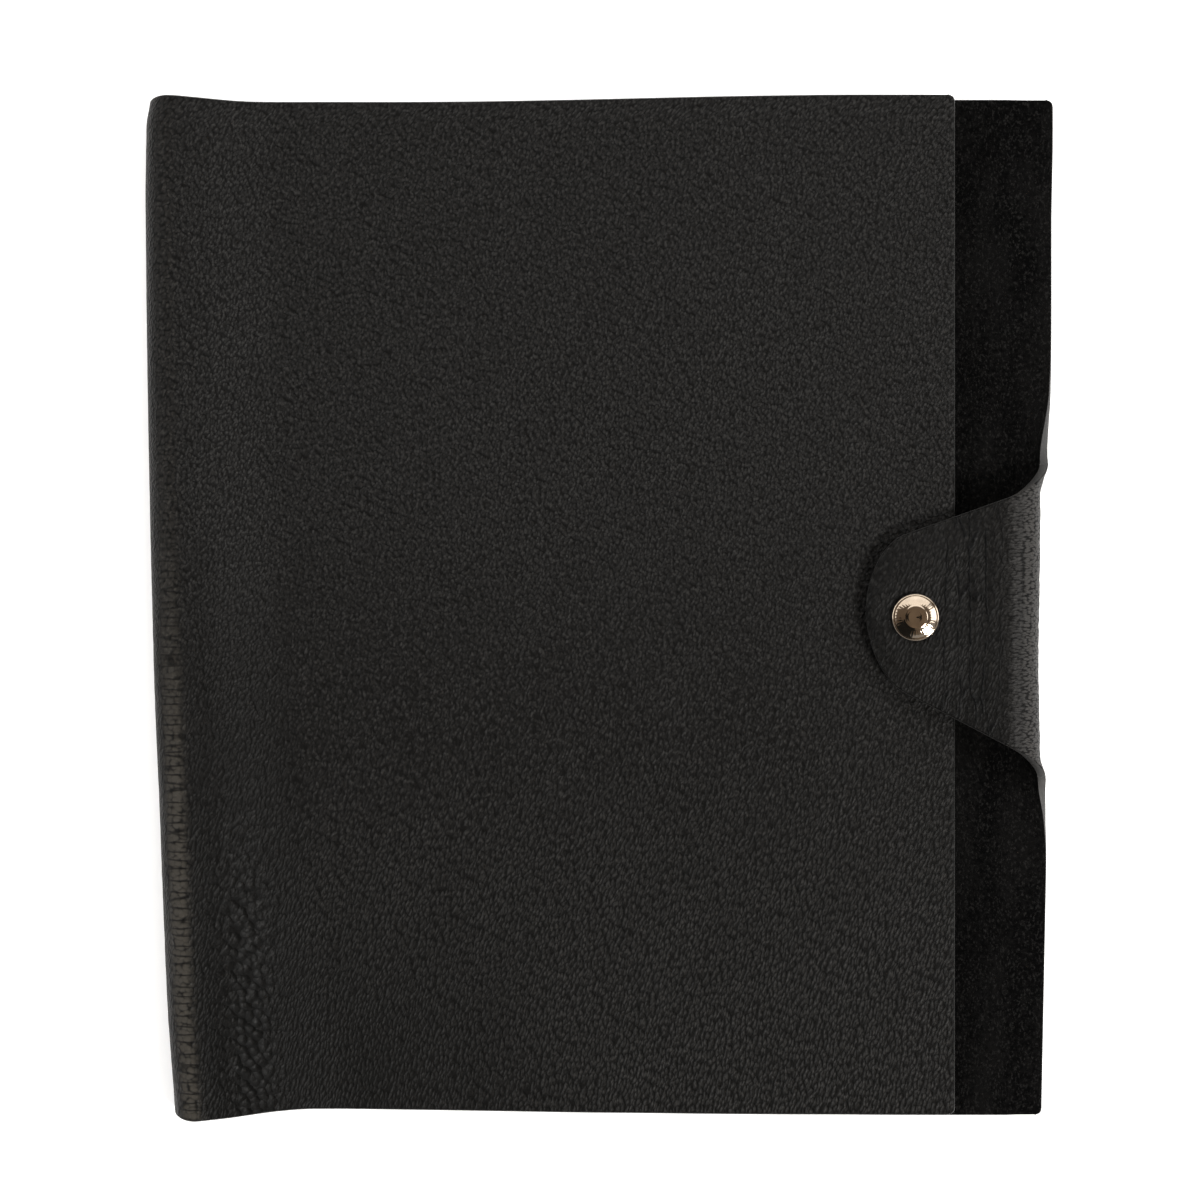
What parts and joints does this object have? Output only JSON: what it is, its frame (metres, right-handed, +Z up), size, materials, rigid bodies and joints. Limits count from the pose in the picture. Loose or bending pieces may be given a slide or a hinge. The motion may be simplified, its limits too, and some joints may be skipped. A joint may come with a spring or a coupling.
{
  "type": "leather notebook cover",
  "caption": "Pebbled black leather notebook cover: one hide round a soft spine, suede inside, with a strap that folds over the fore edge to a press stud and a steel bar for the notebook.",
  "frame": {"origin": "middle of the closed cover's outline, at the height of the surface it lies on", "axes": "+Z up from the back cover to the front cover, +Y towards the head, along the spine, +X from the spine to the strap"},
  "size_m": [0.2, 0.226, 0.0152],
  "materials": {
    "grain_leather": "black pebbled calf, semi-matt grain outside, brushed suede inside, dyed cut edges",
    "polished_plate": "polished, slightly warm white-metal plate",
    "brushed_steel": "satin stainless steel",
    "spring_wire": "drawn bronze wire"
  },
  "bodies": {
    "back": {"back_cover": "grain_leather", "upper_bar_post": "brushed_steel", "lower_bar_post": "brushed_steel", "upper_post_rivet": "brushed_steel", "lower_post_rivet": "brushed_steel"},
    "spine": {"spine_fold": "grain_leather"},
    "front": {"front_cover": "grain_leather", "snap_stud": "polished_plate", "stud_post": "polished_plate"},
    "strap_bend": {"strap_fold": "grain_leather"},
    "strap": {"strap_tab": "grain_leather", "snap_cap": "polished_plate", "snap_socket": "polished_plate", "socket_spring": "spring_wire"},
    "bar": {"notebook_bar": "brushed_steel"}
  },
  "joints": [
    {"name": "spine_hinge", "type": "hinge", "parent": "back", "child": "spine", "pos_m": [-0.09824, 0, 0.00176], "axis": [0, -1, 0], "range_deg": [0, 90.5]},
    {"name": "front_hinge", "type": "hinge", "parent": "spine", "child": "front", "pos_m": [-0.09824, 0, 0.01024], "axis": [0, -1, 0], "range_deg": [0, 90.5]},
    {"name": "strap_hinge", "type": "hinge", "parent": "back", "child": "strap_bend", "pos_m": [0.09504, 0, 0.00196], "axis": [0, 1, 0], "range_deg": [0, 88]},
    {"name": "tab_hinge", "type": "hinge", "parent": "strap_bend", "child": "strap", "pos_m": [0.09504, 0, 0.01144], "axis": [0, 1, 0], "range_deg": [0, 88]},
    {"name": "bar_slide", "type": "slide", "parent": "back", "child": "bar", "axis": [0, 1, 0], "range_m": [0, 0.2]}
  ],
  "couplings": [
    {"joint": "front_hinge", "follows": "spine_hinge", "ratio": 1},
    {"joint": "tab_hinge", "follows": "strap_hinge", "ratio": 1}
  ]
}
